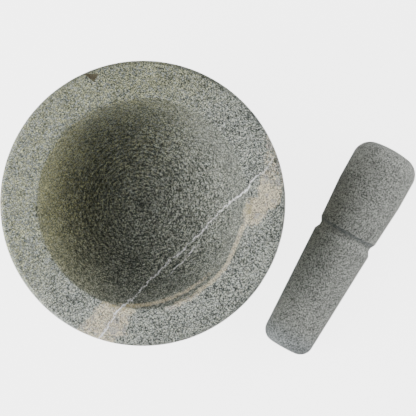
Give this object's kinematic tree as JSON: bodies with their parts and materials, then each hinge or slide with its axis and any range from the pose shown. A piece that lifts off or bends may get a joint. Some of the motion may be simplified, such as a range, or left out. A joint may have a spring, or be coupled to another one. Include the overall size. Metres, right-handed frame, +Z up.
{
  "type": "mortar and pestle",
  "caption": "Turned granite mortar with a broad flat rim and a round-bottomed bowl, with a tapered, grooved pestle lying beside it.",
  "frame": {"origin": "centre of the mortar's flat foot, on the table", "axes": "+Z up along the mortar's axis, +X from the mortar towards the pestle's side, +Y to the mortar's side that the pestle's grinding head points towards"},
  "size_m": [0.2203, 0.1561, 0.08],
  "materials": {
    "mortar_stone": "turned, unpolished grey-green granite with a white vein and cream seams",
    "pestle_stone": "turned, finer dark grey granite, rubbed smooth"
  },
  "bodies": {
    "mortar": {"mortar": "mortar_stone"},
    "pestle": {"pestle": "pestle_stone"}
  },
  "joints": [
    {"name": "pestle_lift", "type": "slide", "parent": "mortar", "child": "pestle", "axis": [0, 0, 1], "range_m": [0, 0.12]}
  ]
}
